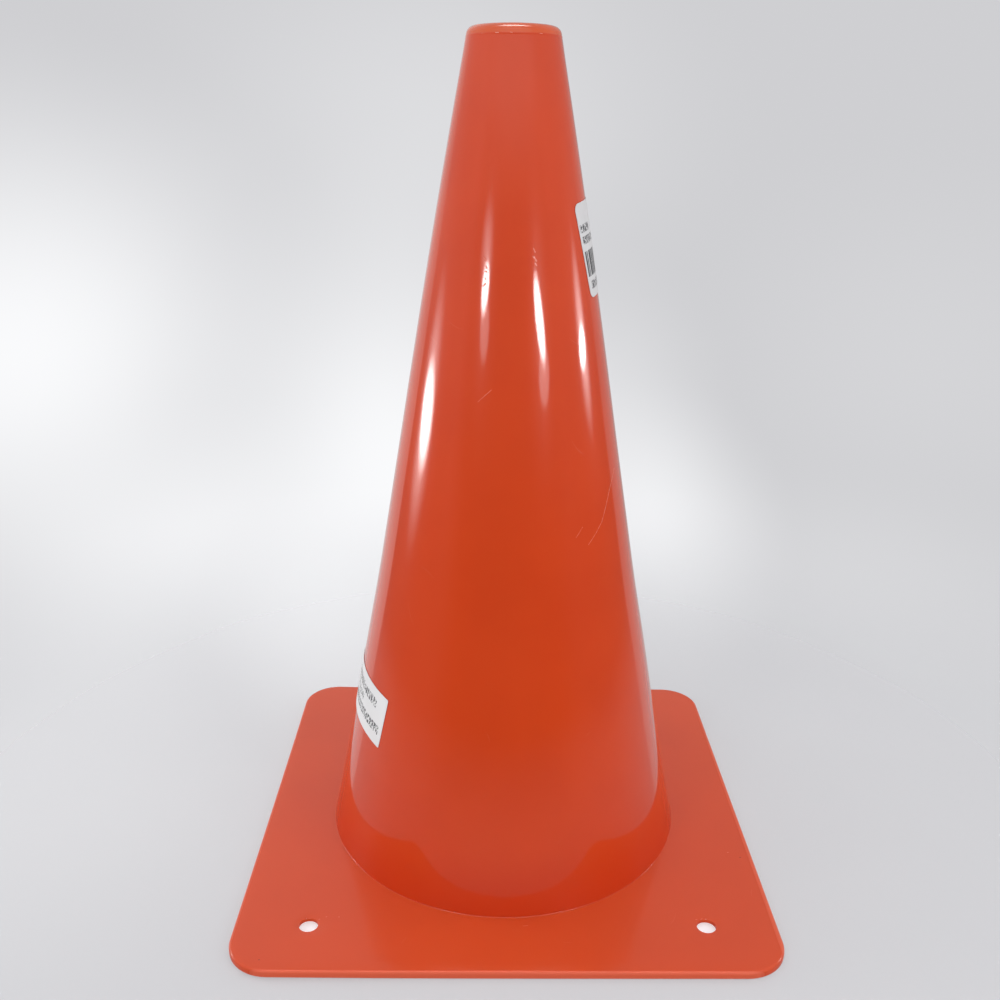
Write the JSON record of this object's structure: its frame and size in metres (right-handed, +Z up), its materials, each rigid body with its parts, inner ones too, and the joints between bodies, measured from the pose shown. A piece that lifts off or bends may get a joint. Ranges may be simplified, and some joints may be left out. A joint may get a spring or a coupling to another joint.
{
  "type": "sports marker cone",
  "caption": "Hollow moulded plastic marker cone on a square base plate with rounded corners, peg holes, an open rim that takes a pole, and stuck-on paper labels; it nests in a stack.",
  "frame": {"origin": "on the floor, at the middle of the base plate, on the cone's axis", "axes": "+Z up along the cone's axis, +X to the right and -Y towards the viewer in the picture, both square to the plate's edges"},
  "size_m": [0.2, 0.2, 0.314],
  "materials": {
    "orange_plastic": "glossy moulded polyethylene, lightly scuffed",
    "label_paper": null
  },
  "bodies": {
    "root": {"cone_shell": "orange_plastic", "base_plate": "orange_plastic", "barcode_label": "label_paper", "address_label": "label_paper"}
  },
  "joints": []
}
